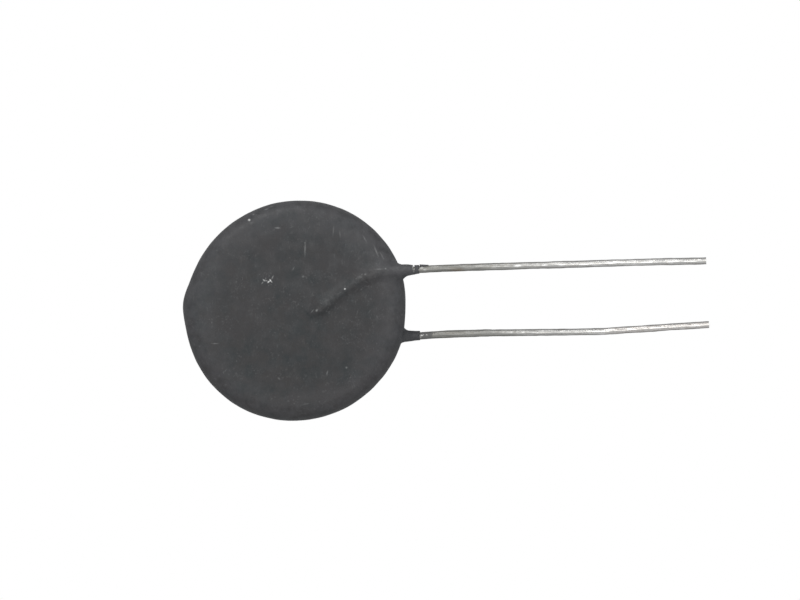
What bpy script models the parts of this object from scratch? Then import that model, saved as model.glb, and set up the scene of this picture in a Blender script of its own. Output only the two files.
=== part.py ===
"""Disc NTC thermistor: a ceramic disc with two tinned wire leads, in a dipped coating.

The design lies flat with the disc's centre at the origin. +X runs along the leads, +Y
across them and +Z out of the front face. Last of all the part is carried to where it lies
on the ground with the middle of its box over the origin.
"""

import math
from dataclasses import dataclass

import bmesh
import bpy
from mathutils import Matrix, Vector

MM = 0.001

# The pressed and sintered ceramic disc
CERAMIC_DIAMETER = 25.0 * MM
CERAMIC_THICKNESS = 4.0 * MM
CERAMIC_CHAMFER = 0.3 * MM

# The silver layer fired on each face, short of the disc's edge by its margin
ELECTRODE_THICKNESS = 0.06 * MM
ELECTRODE_MARGIN = 0.5 * MM

# Bonded faces stand this far apart, so that no two solids share a surface
BOND_GAP = 0.04 * MM

# The leads of tinned wire. Each is soldered on the slant from past the pair's midline,
# then bends to run straight out of the rim
LEAD_DIAMETER = 0.8 * MM
LEAD_PITCH = 8.03 * MM
LEAD_PAIR_SHIFT = 0.93 * MM
LEAD_START = 2.9 * MM
LEAD_CROSSING = 0.43 * MM
LEAD_SLANT = math.radians(35.7)
LEAD_BEND_RADIUS = 7.0 * MM
FRONT_LEAD_REACH = 37.35 * MM
BACK_LEAD_REACH = 37.05 * MM

# Sideways drift of each hand-straightened lead: (share of its reach, drift)
FRONT_LEAD_DRIFT = (
    (0.0, 0.0),
    (0.06, 0.0),
    (0.11, 0.13 * MM),
    (0.16, 0.21 * MM),
    (0.27, 0.345 * MM),
    (0.53, 0.63 * MM),
    (0.785, 0.92 * MM),
    (1.0, 1.1 * MM),
)
BACK_LEAD_DRIFT = (
    (0.0, 0.0),
    (0.04, 0.0),
    (0.095, 0.127 * MM),
    (0.15, 0.236 * MM),
    (0.25, 0.36 * MM),
    (0.38, 0.423 * MM),
    (0.51, 0.476 * MM),
    (0.645, 0.567 * MM),
    (0.70, 0.68 * MM),
    (0.78, 0.875 * MM),
    (0.91, 1.195 * MM),
    (1.0, 1.4 * MM),
)

# The solder, a low bell stretched along the lead's soldered end
SOLDER_LENGTH = 6.0 * MM
SOLDER_WIDTH = 2.6 * MM
SOLDER_FOOT = 0.05 * MM
SOLDER_BELOW_CREST = 0.06 * MM
SOLDER_PAST_END = 1.6 * MM
SOLDER_FLANK = 1.6

# The dipped coat on the disc: flat faces and a full, soft edge
COAT_FACE_WALL = 0.65 * MM
COAT_RIM_WALL = 0.83 * MM
COAT_EDGE_WIDTH = 2.5 * MM
COAT_EDGE_FULLNESS = 2.7

# The rim's outline as the coat set: slightly oval, with a drip and a flatter stretch
COAT_OVAL = 0.21 * MM
OVAL_ANGLE = math.radians(38.0)
DRIP_HEIGHT = 0.35 * MM
DRIP_ANGLE = math.radians(176.5)
DRIP_SPREAD = math.radians(6.5)
FLAT_DEPTH = 0.24 * MM
FLAT_ANGLE = math.radians(0.0)
FLAT_SPREAD = math.radians(9.0)

# The coat over each lead: a ridge on the face, a web at the rim, then a sleeve. It melts
# into the disc's coat with a fillet, wider round the solder and widest at the rim
RIDGE_WALL = 0.22 * MM
RIDGE_END_LENGTH = 1.4 * MM
MELT = 0.7 * MM
MELT_AT_START = 1.1 * MM
MELT_AT_RIM = 1.1 * MM
SKIRT_SINK = 0.03 * MM
SLEEVE_END_WALL = 0.12 * MM
FRONT_SLEEVE_LENGTH = 2.34 * MM
BACK_SLEEVE_LENGTH = 2.12 * MM
FRONT_SLEEVE_SLANT = math.radians(12.0)
BACK_SLEEVE_SLANT = math.radians(2.0)

# The crack across the front sleeve's outer side
CRACK_FROM_RIM = 1.63 * MM
CRACK_WIDTH = 0.17 * MM
CRACK_PAST_CENTRE = 0.08 * MM

# Facets
RIM_STEPS = 96
CORE_STEPS = 48
EDGE_STEPS = 6
SOLDER_STEPS = 24
SOLDER_RISE_STEPS = 7
WIRE_SMOOTHNESS = 4
BEND_STEPS = 7
STRAIGHT_STEPS = 20
SHARP_ANGLE = math.radians(40.0)
WELD = 0.001 * MM

# Rings of the coat over a lead, crowded at the ridge's end: along the ridge, then where their
# heart rises towards the rim, round the web and down the sleeve. Each is sampled along rays,
# a multiple of four in number, from a heart that starts this deep under the wire
RIDGE_STEPS = 17
RIDGE_CROWDING = 1.2
RISE_STEPS = 6
WEB_STEPS = 7
SLEEVE_STEPS = 3
RING_RAYS = 32
HEART_DEPTH = 1.2 * MM
RAY_STRIDES = 40
HALVINGS = 14

# Heights above the disc's mid-plane, radii and distances that follow from the sizes above
CERAMIC_RADIUS = CERAMIC_DIAMETER / 2
ELECTRODE_RADIUS = CERAMIC_RADIUS - ELECTRODE_MARGIN
ELECTRODE_TOP = CERAMIC_THICKNESS / 2 + BOND_GAP + ELECTRODE_THICKNESS
SEAT_HEIGHT = ELECTRODE_TOP + BOND_GAP
LEAD_RADIUS = LEAD_DIAMETER / 2
LEAD_HEIGHT = SEAT_HEIGHT + LEAD_RADIUS
CHANNEL_RADIUS = LEAD_RADIUS + BOND_GAP
COAT_FACE_HEIGHT = SEAT_HEIGHT + COAT_FACE_WALL
COAT_RADIUS = CERAMIC_RADIUS + BOND_GAP + COAT_RIM_WALL
COAT_FLAT_RADIUS = COAT_RADIUS - COAT_EDGE_WIDTH
RIDGE_START = -(RIDGE_END_LENGTH + MELT_AT_START)


def smooth(share):
    """Ease from 0 to 1 with level ends."""
    share = min(max(share, 0.0), 1.0)
    return share * share * (3.0 - 2.0 * share)


def mix(low, high, share):
    return low + (high - low) * share


def last_inside(is_outside, low, high):
    """Where on a scale from inside to outside the inside ends, found by halving."""
    for _ in range(HALVINGS):
        middle = (low + high) / 2
        low, high = (low, middle) if is_outside(middle) else (middle, high)
    return low


def curve_through(knots, place):
    """Value at a place of a smooth curve through (place, value) knots."""
    last = len(knots) - 1

    def slope(i):
        low, high = knots[max(i - 1, 0)], knots[min(i + 1, last)]
        return (high[1] - low[1]) / (high[0] - low[0])

    i = max(k for k in range(last) if knots[k][0] <= place or k == 0)
    width = knots[i + 1][0] - knots[i][0]
    t = (place - knots[i][0]) / width
    return (
        knots[i][1] * (2 * t**3 - 3 * t**2 + 1)
        + knots[i + 1][1] * (3 * t**2 - 2 * t**3)
        + slope(i) * width * (t**3 - 2 * t**2 + t)
        + slope(i + 1) * width * (t**3 - t**2)
    )


def bump(angle, centre, spread):
    """A smooth swelling of height 1 about an angle of the rim."""
    away = (angle - centre + math.pi) % (2.0 * math.pi) - math.pi
    return math.exp(-0.5 * (away / spread) ** 2)


def outline_radius(angle):
    """Radius of the coated rim at an angle."""
    oval = COAT_OVAL * math.cos(2.0 * (angle - OVAL_ANGLE))
    drip = DRIP_HEIGHT * bump(angle, DRIP_ANGLE, DRIP_SPREAD)
    flat = FLAT_DEPTH * bump(angle, FLAT_ANGLE, FLAT_SPREAD)
    return COAT_RADIUS + oval + drip - flat


def edge_profile():
    """Upper half of the coated disc's section, from the axis out to the rim's middle."""
    profile = [(0.0, COAT_FACE_HEIGHT)]
    for i in range(EDGE_STEPS + 1):
        angle = math.pi / 2 * (1.0 - i / EDGE_STEPS)
        out = max(math.cos(angle), 0.0) ** (2.0 / COAT_EDGE_FULLNESS)
        up = max(math.sin(angle), 0.0) ** (2.0 / COAT_EDGE_FULLNESS)
        profile.append((COAT_FLAT_RADIUS + COAT_EDGE_WIDTH * out, COAT_FACE_HEIGHT * up))
    return profile


EDGE_PROFILE = edge_profile()


def round_radius(place):
    """The radius a place would have if the coat's rim had set truly round."""
    radius = math.hypot(place.x, place.y)
    if radius <= COAT_FLAT_RADIUS:
        return radius
    edge_width = outline_radius(math.atan2(place.y, place.x)) - COAT_FLAT_RADIUS
    return COAT_FLAT_RADIUS + (radius - COAT_FLAT_RADIUS) * COAT_EDGE_WIDTH / edge_width


def skin_height(place):
    """Height of the coated disc's skin over the mid-plane at a place, 0 past the rim."""
    radius = round_radius(place)
    for (near_r, near_z), (far_r, far_z) in zip(EDGE_PROFILE, EDGE_PROFILE[1:]):
        if radius < far_r:
            return mix(near_z, far_z, (radius - near_r) / (far_r - near_r))
    return 0.0


def distance_outside_disc(place):
    """Distance from a place to the skin of the coated disc, negative inside it."""
    radius = round_radius(place)
    height = abs(place.z)
    nearest = math.inf
    for (near_r, near_z), (far_r, far_z) in zip(EDGE_PROFILE, EDGE_PROFILE[1:]):
        run_r, run_z = far_r - near_r, far_z - near_z
        along = (radius - near_r) * run_r + (height - near_z) * run_z
        share = min(max(along / (run_r**2 + run_z**2), 0.0), 1.0)
        away_r, away_z = radius - near_r - share * run_r, height - near_z - share * run_z
        nearest = min(nearest, math.hypot(away_r, away_z))
    return -nearest if height < skin_height(place) else nearest


def melted(first, second, reach):
    """Distance to two bodies melted together with a fillet that reaches this far out."""
    overlap = max(reach - abs(first - second), 0.0) / reach
    return min(first, second) - overlap**2 * reach / 4


@dataclass
class Lead:
    """One lead: the face it lies on (+1 front, -1 back) and the sizes that are its own."""

    side: int
    reach: float
    drift: tuple
    sleeve_length: float
    sleeve_slant: float

    def exit_height(self):
        """Where across the part the lead leaves the rim, along Y."""
        return LEAD_PAIR_SHIFT + self.side * LEAD_PITCH / 2

    def rim_place(self):
        """Where along the part the lead leaves the rim, along X."""
        return math.sqrt(COAT_RADIUS**2 - self.exit_height() ** 2)

    def route(self):
        """Centre line from the soldered end to the cut end: slant, bend, then straight."""
        exit_y = self.exit_height()
        height = self.side * LEAD_HEIGHT
        climb = LEAD_PITCH / 2 + LEAD_CROSSING
        slant_run = climb / math.tan(LEAD_SLANT)
        bend_end = LEAD_START + slant_run + LEAD_BEND_RADIUS * math.tan(LEAD_SLANT / 2)
        line = [Vector((LEAD_START, exit_y - self.side * climb, height))]
        for i in range(BEND_STEPS + 1):
            angle = LEAD_SLANT * (1.0 - i / BEND_STEPS)
            below = LEAD_BEND_RADIUS * (1.0 - math.cos(angle))
            x = bend_end - LEAD_BEND_RADIUS * math.sin(angle)
            line.append(Vector((x, exit_y - self.side * below, height)))
        straight_start = max(self.rim_place(), bend_end)
        straight_end = self.rim_place() + self.reach
        for i in range(1, STRAIGHT_STEPS + 1):
            share = i / STRAIGHT_STEPS
            drift = curve_through(self.drift, share)
            line.append(Vector((mix(straight_start, straight_end, share), exit_y + drift, height)))
        return line


FRONT_LEAD = Lead(1, FRONT_LEAD_REACH, FRONT_LEAD_DRIFT, FRONT_SLEEVE_LENGTH, FRONT_SLEEVE_SLANT)
BACK_LEAD = Lead(-1, BACK_LEAD_REACH, BACK_LEAD_DRIFT, BACK_SLEEVE_LENGTH, BACK_SLEEVE_SLANT)


def point_along(line, distance):
    """Point at a distance along a line; the line goes on straight past both its ends."""
    for near, far in zip(line, line[1:]):
        span = (far - near).length
        if distance <= span or far is line[-1]:
            return near.lerp(far, distance / span)
        distance -= span


def stretch_of(line, start, end):
    """The stretch of a line between two distances along it."""
    stretch = [point_along(line, start)]
    distance = 0.0
    for near, far in zip(line, line[1:]):
        distance += (far - near).length
        if start < distance < end:
            stretch.append(far)
    return [*stretch, point_along(line, end)]


def direction_along(line, distance):
    """Direction of a line at a distance, eased over its small corners."""
    ease = LEAD_RADIUS / 2
    return (point_along(line, distance + ease) - point_along(line, distance - ease)).normalized()


def beside(line, distance, offset, height):
    """Place at a height over the mid-plane and an offset to the left of a line."""
    direction = direction_along(line, distance)
    place = point_along(line, distance) + offset * Vector((-direction.y, direction.x, 0.0))
    place.z = height
    return place


def leaving_distance(line, offset, radius_at):
    """Distance at which a point beside a line leaves the radius around the disc's axis."""

    def is_outside(distance):
        place = beside(line, distance, offset, 0.0)
        return math.hypot(place.x, place.y) > radius_at(math.atan2(place.y, place.x))

    return last_inside(is_outside, 0.0, 2.0 * COAT_RADIUS)


def add_object(name, data, group):
    piece = bpy.data.objects.new(name, data)
    group.objects.link(piece)
    return piece


def turned(name, profile, steps, group):
    """A solid of revolution about Z, from a profile that runs from the top to the foot."""
    mesh = bpy.data.meshes.new(name)
    edges = [(i, i + 1) for i in range(len(profile) - 1)]
    mesh.from_pydata([(radius, 0.0, height) for radius, height in profile], edges, [])
    piece = add_object(name, mesh, group)
    screw = piece.modifiers.new("turn", "SCREW")
    screw.axis = "Z"
    screw.steps = screw.render_steps = steps
    screw.use_merge_vertices = True
    screw.merge_threshold = WELD
    return piece


def wire(name, line, radius, group):
    """A round wire along a line, with its ends cut square."""
    data = bpy.data.curves.new(name, "CURVE")
    data.dimensions = "3D"
    data.bevel_depth = radius
    data.bevel_resolution = WIRE_SMOOTHNESS
    data.use_fill_caps = True
    spline = data.splines.new("POLY")
    spline.points.add(len(line) - 1)
    for knot, place in zip(spline.points, line):
        knot.co = (*place, 1.0)
    return add_object(name, data, group)


def shade(mesh):
    """Smooth shading where a mesh is round, sharp at its edges."""
    mesh.shade_smooth()
    mesh.set_sharp_from_angle(angle=SHARP_ANGLE)


def loft(name, rings, group):
    """A solid skinned over a row of closed rings that have equally many points."""
    shape = bmesh.new()
    rows = [[shape.verts.new(place) for place in ring] for ring in rings]
    for near, far in zip(rows, rows[1:]):
        for i in range(len(near)):
            shape.faces.new((near[i - 1], near[i], far[i], far[i - 1]))
    shape.faces.new(rows[0])
    shape.faces.new(rows[-1])
    bmesh.ops.recalc_face_normals(shape, faces=shape.faces)
    mesh = bpy.data.meshes.new(name)
    shape.to_mesh(mesh)
    shape.free()
    shade(mesh)
    return add_object(name, mesh, group)


def as_mesh(piece):
    """The same shape as plain mesh: modifiers and curves are made real and caps are welded."""
    bpy.context.view_layer.update()
    evaluated = piece.evaluated_get(bpy.context.evaluated_depsgraph_get())
    mesh = bpy.data.meshes.new_from_object(evaluated)
    shape = bmesh.new()
    shape.from_mesh(mesh)
    bmesh.ops.remove_doubles(shape, verts=shape.verts, dist=WELD)
    shape.to_mesh(mesh)
    shape.free()
    name = piece.name
    group = piece.users_collection[0]
    bpy.data.objects.remove(piece)
    return add_object(name, mesh, group)


def combine(piece, tool, operation):
    step = piece.modifiers.new(tool.name, "BOOLEAN")
    step.operation = operation
    step.solver = "EXACT"
    step.object = tool


def finish(piece, colour, roughness, metallic):
    """Give a piece its own material, and smooth shading where it is round."""
    material = bpy.data.materials.new(piece.name)
    material.use_nodes = True
    shader = material.node_tree.nodes["Principled BSDF"]
    shader.inputs["Base Color"].default_value = (*colour, 1.0)
    shader.inputs["Roughness"].default_value = roughness
    shader.inputs["Metallic"].default_value = metallic
    piece.data.materials.append(material)
    if piece.type == "MESH":
        shade(piece.data)


def mirrored_below(profile):
    """A profile's mirror image under the mid-plane, in order from the middle to the foot."""
    return [(radius, -height) for radius, height in reversed(profile)]


def ceramic_disc(group):
    top = CERAMIC_THICKNESS / 2
    shoulder = top - CERAMIC_CHAMFER
    flat = CERAMIC_RADIUS - CERAMIC_CHAMFER
    upper = [(0.0, top), (flat, top), (CERAMIC_RADIUS, shoulder)]
    disc = turned("ceramic_disc", upper + mirrored_below(upper), CORE_STEPS, group)
    finish(disc, (0.05, 0.05, 0.052), 0.7, 0.0)


def electrode(name, side, group):
    foot = ELECTRODE_TOP - ELECTRODE_THICKNESS
    profile = [
        (0.0, ELECTRODE_TOP),
        (ELECTRODE_RADIUS, ELECTRODE_TOP),
        (ELECTRODE_RADIUS, foot),
        (0.0, foot),
    ]
    if side < 0:
        profile = mirrored_below(profile)
    layer = turned(name, profile, CORE_STEPS, group)
    finish(layer, (0.72, 0.71, 0.68), 0.45, 1.0)


def core_space(group):
    """The room inside the coat for the ceramic disc and both electrodes, with its gap."""
    electrode_edge = ELECTRODE_RADIUS + BOND_GAP
    ceramic_edge = CERAMIC_RADIUS + BOND_GAP
    ceramic_top = CERAMIC_THICKNESS / 2 + BOND_GAP
    upper = [
        (0.0, SEAT_HEIGHT),
        (electrode_edge, SEAT_HEIGHT),
        (electrode_edge, ceramic_top),
        (ceramic_edge, ceramic_top),
    ]
    return as_mesh(turned("core_space", upper + mirrored_below(upper), CORE_STEPS, group))


def channel(name, lead, group):
    """The bore that a lead runs through, from just behind its soldered end past its sleeve."""
    line = lead.route()
    past_sleeve = leaving_distance(line, 0.0, outline_radius) + lead.sleeve_length + LEAD_DIAMETER
    return as_mesh(wire(name, stretch_of(line, -BOND_GAP, past_sleeve), CHANNEL_RADIUS, group))


def solder_bell(name, lead, grow, drop, group):
    """A bell of solder over a lead's end. The room for it in the coat grows and drops further."""
    crest = LEAD_DIAMETER - SOLDER_BELOW_CREST + grow
    foot = SOLDER_FOOT + grow
    profile = []
    for i in range(SOLDER_RISE_STEPS + 1):
        share = i / SOLDER_RISE_STEPS
        profile.append((share, mix(foot, crest, (1.0 - share**2) ** SOLDER_FLANK)))
    profile += [(1.0, -drop), (0.0, -drop)]
    bell = as_mesh(turned(name, profile, SOLDER_STEPS, group))
    line = lead.route()
    middle = point_along(line, SOLDER_LENGTH / 2 - SOLDER_PAST_END)
    direction = direction_along(line, 0.0)
    stretch = Matrix.Diagonal((SOLDER_LENGTH / 2 + grow, SOLDER_WIDTH / 2 + grow, lead.side, 1.0))
    turn = Matrix.Rotation(math.atan2(direction.y, direction.x), 4, "Z")
    seat = Matrix.Translation((middle.x, middle.y, lead.side * SEAT_HEIGHT))
    bell.data.transform(seat @ turn @ stretch)
    if lead.side < 0:
        bell.data.flip_normals()
    return bell


def coat_body(group):
    """The coated disc without its leads: turned, then pushed out to its set outline."""
    whole = EDGE_PROFILE + mirrored_below(EDGE_PROFILE[:-1])
    body = as_mesh(turned("coating", whole, RIM_STEPS, group))
    for vertex in body.data.vertices:
        radius = math.hypot(vertex.co.x, vertex.co.y)
        if radius > COAT_FLAT_RADIUS:
            angle = math.atan2(vertex.co.y, vertex.co.x)
            share = (radius - COAT_FLAT_RADIUS) / COAT_EDGE_WIDTH
            pushed = mix(COAT_FLAT_RADIUS, outline_radius(angle), share)
            vertex.co.x = pushed * math.cos(angle)
            vertex.co.y = pushed * math.sin(angle)
    return body


@dataclass
class CoatRun:
    """The coat's skin where it follows a lead and melts into the coated disc.

    Both leads are worked out as if on the front face; the back one is mirrored at the end."""

    lead: Lead
    line: list
    rim: float
    flat_end: float

    def wire_round(self, distance):
        """Radius of the coat round the wire: full on the disc, thinning along the sleeve."""
        share = min(max((distance - self.rim) / self.lead.sleeve_length, 0.0), 1.0)
        return CHANNEL_RADIUS + mix(RIDGE_WALL, SLEEVE_END_WALL, share)

    def melt(self, distance):
        """Reach of the fillet: narrowest half-way to the rim, and fading past the lead's end."""
        if distance < 0.0:
            return mix(MELT_AT_START, MELT / 2, distance / RIDGE_START)
        waist = self.flat_end / 2
        if distance < waist:
            return mix(MELT_AT_START, MELT, smooth(distance / waist))
        return mix(MELT, MELT_AT_RIM, smooth((distance - waist) / waist))

    def lean(self, distance):
        """How far per width a ring swings round, so that it follows the rim where it meets it."""
        rim_slope = -self.lead.exit_height() / self.lead.rim_place()
        waist = self.flat_end / 2
        if distance < self.rim:
            return rim_slope * smooth((distance - waist) / waist)
        return rim_slope * smooth(1.0 - (distance - self.rim) / self.lead.sleeve_length)

    def beside_wire(self, distance, width, height):
        """Place on a leaning ring, from its distance, its width and its height."""
        return beside(self.line, distance + self.lean(distance) * width, width, height)

    def is_outside(self, distance, width, height):
        place = self.beside_wire(distance, width, height)
        radius = self.wire_round(distance)
        past_end = min(distance, 0.0) * radius / RIDGE_END_LENGTH
        from_wire = math.hypot(width, height - LEAD_HEIGHT, past_end) - radius
        from_disc = distance_outside_disc(place) + SKIRT_SINK
        return melted(from_disc, from_wire, self.melt(distance)) > 0.0

    def ray_end(self, distance, angle, heart, reach):
        """How far a ray from the heart runs before it leaves the skin, at most its reach."""

        def is_out(ray):
            return self.is_outside(distance, ray * math.sin(angle), heart + ray * math.cos(angle))

        stride = reach / RAY_STRIDES
        ray = stride
        while ray < reach and not is_out(ray):
            ray += stride
        return last_inside(is_out, ray - stride, ray)

    def web_foot(self, angle):
        """Distance at which a ray round the wire first comes out short of the web's reach."""
        reach = self.wire_round(self.rim) + MELT_AT_RIM

        def comes_short(distance):
            return self.ray_end(distance, angle, LEAD_HEIGHT, reach) < reach - WELD

        return last_inside(comes_short, 0.0, self.rim + reach)

    def web_feet(self):
        """The web's foot all round: over the wire it is carried across from side to side."""
        left, right = self.web_foot(-math.pi / 2), self.web_foot(math.pi / 2)
        feet = []
        for i in range(RING_RAYS):
            angle = math.tau * i / RING_RAYS - math.pi
            if abs(angle) > math.pi / 2:
                feet.append(self.web_foot(angle))
            else:
                feet.append(mix(left, right, (1.0 + math.sin(angle)) / 2))
        return feet

    def ring(self, distances, rise):
        """One closed ring of the skin, from rays that start at a heart under the wire.

        The upper half of the rays fans out over the ridge, from foot to foot. The others stay
        in the disc and stop short. When the heart has risen to the wire's centre, at the rim,
        they follow the web and then the sleeve."""
        heart = LEAD_HEIGHT - HEART_DEPTH * (1.0 - rise)
        places = []
        for i, distance in enumerate(distances):
            share = 2.0 * i / RING_RAYS - 1.0
            hand = -1.0 if share < 0.0 else 1.0
            foot_distance = distances[RING_RAYS // 4 if share < 0.0 else RING_RAYS * 3 // 4]
            foot_width = self.wire_round(foot_distance) + self.melt(foot_distance)
            foot_place = self.beside_wire(foot_distance, hand * foot_width, 0.0)
            foot_rise = max(skin_height(foot_place) - SKIRT_SINK - heart, 0.0)
            foot_angle = math.atan2(foot_width, foot_rise)
            if abs(share) <= 0.5:
                angle = hand * foot_angle * abs(share) * 2.0
                reach = foot_width + LEAD_HEIGHT - heart
            else:
                angle = hand * mix(foot_angle, math.pi, abs(share) * 2.0 - 1.0)
                reach = math.hypot(foot_width, foot_rise)
            ray = self.ray_end(distance, angle, heart, reach)
            width = ray * math.sin(angle)
            sleeve_share = smooth((distance - self.rim) / self.lead.sleeve_length)
            lag = width * self.lead.side * math.tan(self.lead.sleeve_slant) * sleeve_share
            height = self.lead.side * (heart + ray * math.cos(angle))
            places.append(self.beside_wire(distance - lag, width, height))
        return places


def coat_run(name, lead, group):
    """The coat over a lead, lofted through its rings: ridge, web, then sleeve."""
    line = lead.route()
    rim = leaving_distance(line, 0.0, outline_radius)
    spread = CHANNEL_RADIUS + RIDGE_WALL + MELT_AT_RIM
    sides = (spread, -spread)
    flat_end = min(leaving_distance(line, side, lambda _: COAT_FLAT_RADIUS) for side in sides)
    run = CoatRun(lead, line, rim, flat_end)
    feet = run.web_feet()
    flat_share = (flat_end - RIDGE_START) / (rim - RIDGE_START)
    sleeve_end = rim + lead.sleeve_length
    web_end = min(max(feet) + MELT_AT_RIM, (rim + sleeve_end) / 2)
    rings = []
    for i in range(RIDGE_STEPS):
        share = flat_share * (i / RIDGE_STEPS) ** RIDGE_CROWDING
        rings.append(run.ring([mix(RIDGE_START, foot, share) for foot in feet], 0.0))
    for i in range(RISE_STEPS):
        rise = i / RISE_STEPS
        share = mix(flat_share, 1.0, rise)
        rings.append(run.ring([mix(RIDGE_START, foot, share) for foot in feet], smooth(rise)))
    for i in range(WEB_STEPS):
        share = 1.0 - math.cos(math.pi / 2 * i / WEB_STEPS)
        rings.append(run.ring([mix(foot, web_end, share) for foot in feet], 1.0))
    for i in range(SLEEVE_STEPS + 1):
        rings.append(run.ring([mix(web_end, sleeve_end, i / SLEEVE_STEPS)] * RING_RAYS, 1.0))
    return loft(name, rings, group)


def crack(lead, group):
    """The cutter of the crack: a thin slab across the sleeve's outer side."""
    line = lead.route()
    distance = leaving_distance(line, 0.0, outline_radius) + CRACK_FROM_RIM
    past_sleeve = CHANNEL_RADIUS + RIDGE_WALL + LEAD_RADIUS
    height = lead.side * LEAD_HEIGHT
    near = beside(line, distance, -lead.side * CRACK_PAST_CENTRE, height)
    far = beside(line, distance, lead.side * past_sleeve, height)
    direction = direction_along(line, distance)
    stretch = Matrix.Diagonal((CRACK_WIDTH, (far - near).length, 2.0 * past_sleeve, 1.0))
    turn = Matrix.Rotation(math.atan2(direction.y, direction.x), 4, "Z")
    shape = bmesh.new()
    bmesh.ops.create_cube(shape, size=1.0)
    place = Matrix.Translation((near + far) / 2) @ turn @ stretch
    bmesh.ops.transform(shape, matrix=place, verts=shape.verts)
    mesh = bpy.data.meshes.new("crack")
    shape.to_mesh(mesh)
    shape.free()
    return add_object("crack", mesh, group)


def lie_on_ground(holder, pieces):
    """Move the holder so that the middle of the part's box stands over the origin."""
    bpy.context.view_layer.update()
    depsgraph = bpy.context.evaluated_depsgraph_get()
    places = []
    for piece in pieces:
        evaluated = piece.evaluated_get(depsgraph)
        mesh = evaluated.to_mesh()
        places += [evaluated.matrix_world @ vertex.co for vertex in mesh.vertices]
        evaluated.to_mesh_clear()
    low = [min(place[axis] for place in places) for axis in range(3)]
    high = [max(place[axis] for place in places) for axis in range(3)]
    holder.location = (-(low[0] + high[0]) / 2, -(low[1] + high[1]) / 2, -low[2])


def build():
    for old in list(bpy.data.objects):
        bpy.data.objects.remove(old)
    parts = bpy.data.collections.new("ntc_disc_resistor")
    tools = bpy.data.collections.new("shaping_tools")
    for group in (parts, tools):
        bpy.context.scene.collection.children.link(group)

    ceramic_disc(parts)
    electrode("front_electrode", 1, parts)
    electrode("back_electrode", -1, parts)

    coating = coat_body(parts)
    rooms = [core_space(tools)]
    for name, lead in (("front", FRONT_LEAD), ("back", BACK_LEAD)):
        strand = wire(f"{name}_lead", lead.route(), LEAD_RADIUS, parts)
        finish(strand, (0.62, 0.61, 0.58), 0.35, 1.0)
        bore = channel(f"{name}_channel", lead, tools)
        joint = solder_bell(f"{name}_solder_joint", lead, 0.0, 0.0, parts)
        finish(joint, (0.66, 0.66, 0.66), 0.3, 1.0)
        combine(joint, bore, "DIFFERENCE")
        combine(coating, coat_run(f"{name}_run", lead, tools), "UNION")
        rooms += [bore, solder_bell(f"{name}_solder_room", lead, BOND_GAP, 2.0 * BOND_GAP, tools)]
    for room in rooms:
        combine(coating, room, "DIFFERENCE")
    combine(coating, crack(FRONT_LEAD, tools), "DIFFERENCE")
    finish(coating, (0.065, 0.065, 0.068), 0.6, 0.0)

    holder = bpy.data.objects.new("ntc_disc_resistor", None)
    parts.objects.link(holder)
    for tool in tools.objects:
        tool.hide_render = True
        tool.display_type = "WIRE"
    pieces = [piece for piece in parts.objects if piece is not holder]
    for piece in [*pieces, *tools.objects]:
        piece.parent = holder
    lie_on_ground(holder, pieces)


build()
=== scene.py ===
import math

import bpy
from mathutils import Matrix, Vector, noise


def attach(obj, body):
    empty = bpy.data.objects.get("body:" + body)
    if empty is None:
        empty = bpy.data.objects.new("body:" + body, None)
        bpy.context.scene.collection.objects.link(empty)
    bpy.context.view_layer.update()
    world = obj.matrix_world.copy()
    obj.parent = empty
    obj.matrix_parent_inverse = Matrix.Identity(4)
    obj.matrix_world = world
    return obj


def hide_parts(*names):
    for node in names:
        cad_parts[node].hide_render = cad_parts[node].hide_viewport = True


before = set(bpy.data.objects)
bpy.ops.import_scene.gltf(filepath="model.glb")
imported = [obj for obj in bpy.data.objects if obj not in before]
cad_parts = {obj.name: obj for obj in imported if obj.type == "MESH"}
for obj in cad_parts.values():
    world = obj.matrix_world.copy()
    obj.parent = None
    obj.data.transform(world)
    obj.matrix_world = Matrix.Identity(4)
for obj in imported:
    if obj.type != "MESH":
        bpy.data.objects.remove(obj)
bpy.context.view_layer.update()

MM = 0.001

# The studio: a plain pale floor, a camera that looks straight down on the part, and soft
# light: an even sky, a soft box overhead and another beyond the disc's upper left.
PICTURE_WIDTH = 96.97 * MM
PICTURE_CENTRE = (-5.615 * MM, 1.295 * MM)
CAMERA_HEIGHT = 2.4
DISC_HEIGHT = 3.299 * MM
FLOOR_SIZE = 3.0
BLACK = (0.0, 0.0, 0.0)
PAPER_WHITE = (1.0, 1.0, 1.0)
PAPER_BOUNCE = (0.36, 0.36, 0.36)
CONTACT_SHADE = (0.62, 0.62, 0.63)
CONTACT_REACH = 0.45 * MM
SKY_COLOUR = (0.97, 0.98, 1.0, 1.0)
SKY_STRENGTH = 0.9
# Soft lights: name, place, edge length and power
SOFT_LIGHTS = (
    ("overhead_light", (PICTURE_CENTRE[0], PICTURE_CENTRE[1] + 0.05, 1.3), 0.75, 3.6),
    ("window_light", (-0.3, 0.8, 0.7), 0.5, 4.2),
)
# The colour sockets of a Mix node: first, second and result
MIX_FIRST, MIX_SECOND, MIX_RESULT = 6, 7, 2


def only(piece):
    """Leaves nothing selected but this piece, and makes it the one worked on."""
    bpy.ops.object.select_all(action="DESELECT")
    piece.select_set(True)
    bpy.context.view_layer.objects.active = piece


def add_node(tree, kind, sockets=(), **settings):
    """Adds a shader node. A socket is given a value, or another node's output to link."""
    made = tree.nodes.new(kind)
    for name, value in settings.items():
        setattr(made, name, value)
    for key, value in dict(sockets).items():
        if isinstance(value, bpy.types.NodeSocket):
            tree.links.new(value, made.inputs[key])
        else:
            made.inputs[key].default_value = value
    return made


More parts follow.
